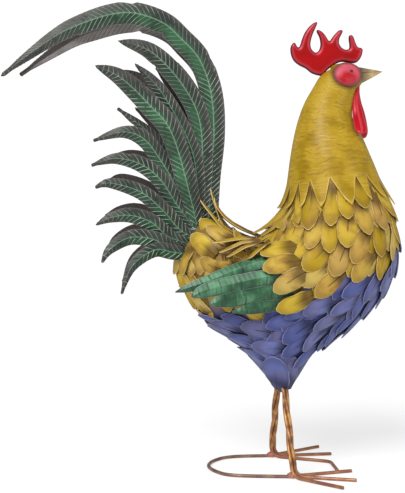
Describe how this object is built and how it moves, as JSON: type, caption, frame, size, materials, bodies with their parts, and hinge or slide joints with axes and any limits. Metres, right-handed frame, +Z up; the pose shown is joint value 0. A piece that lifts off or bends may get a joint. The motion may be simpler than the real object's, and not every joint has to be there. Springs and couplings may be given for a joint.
{
  "type": "sheet metal rooster sculpture",
  "caption": "Garden rooster of painted sheet-metal feathers over a formed body, with a folded green tail, red comb and twisted rod legs that stand freely on toes and a rear loop.",
  "frame": {"origin": "on the ground, below the middle of the figure", "axes": "+X towards the beak, +Y towards the bird's left side, +Z up"},
  "size_m": [0.4566, 0.218, 0.5311],
  "materials": {
    "gold_paint": "satin gold paint with brown strokes",
    "gold_feathers": "satin gold paint with worn pale rims",
    "blue_feathers": "satin slate blue paint with worn pale rims",
    "red_enamel": "glossy red enamel",
    "horn": "worn grey and gold paint",
    "wing_green": "satin green paint with scratches",
    "tail_green": "dark green paint with pale veins and brown edges",
    "copper_rod": "bronze-brown metallic paint"
  },
  "bodies": {
    "root": {"body_shell": "gold_paint", "neck_and_head": "gold_paint", "comb": "red_enamel", "wattle_right": "red_enamel", "wattle_left": "red_enamel", "beak": "horn", "feather_row_01": "gold_feathers", "feather_row_02": "gold_feathers", "feather_row_03": "gold_feathers", "feather_row_04": "gold_feathers", "feather_row_05": "gold_feathers", "feather_row_06": "gold_feathers", "feather_row_07": "blue_feathers", "feather_row_08": "blue_feathers", "feather_row_09_right": "blue_feathers", "feather_row_09_left": "blue_feathers", "feather_row_10_right": "blue_feathers", "feather_row_10_left": "blue_feathers", "feather_row_11": "blue_feathers", "feather_row_12": "blue_feathers", "feather_row_13": "blue_feathers", "shoulder_feathers_right": "gold_feathers", "shoulder_feathers_left": "gold_feathers", "wing_blade_right_1": "wing_green", "wing_blade_left_1": "wing_green", "wing_blade_right_2": "wing_green", "wing_blade_left_2": "wing_green", "wing_blade_right_3": "wing_green", "wing_blade_left_3": "wing_green", "wing_blade_right_4": "wing_green", "wing_blade_left_4": "wing_green", "tail_feather_right_1": "tail_green", "tail_feather_left_1": "tail_green", "tail_feather_right_2": "tail_green", "tail_feather_left_2": "tail_green", "tail_feather_right_3": "tail_green", "tail_feather_left_3": "tail_green", "tail_feather_right_4": "tail_green", "tail_feather_left_4": "tail_green", "tail_feather_right_5": "tail_green", "tail_feather_left_5": "tail_green", "tail_feather_right_6": "tail_green", "tail_feather_left_6": "tail_green", "tail_feather_right_7": "tail_green", "tail_feather_left_7": "tail_green", "tail_feather_right_8": "tail_green", "tail_feather_left_8": "tail_green", "tail_feather_right_9": "tail_green", "tail_feather_left_9": "tail_green", "tail_feather_right_10": "tail_green", "tail_feather_left_10": "tail_green", "tail_feather_right_11": "tail_green", "tail_feather_left_11": "tail_green", "leg_rod_right_outer": "copper_rod", "leg_rod_right_middle": "copper_rod", "leg_rod_right_inner": "copper_rod", "leg_rod_left_outer": "copper_rod", "leg_rod_left_middle": "copper_rod", "leg_rod_left_inner": "copper_rod", "base_loop": "copper_rod"}
  },
  "joints": []
}
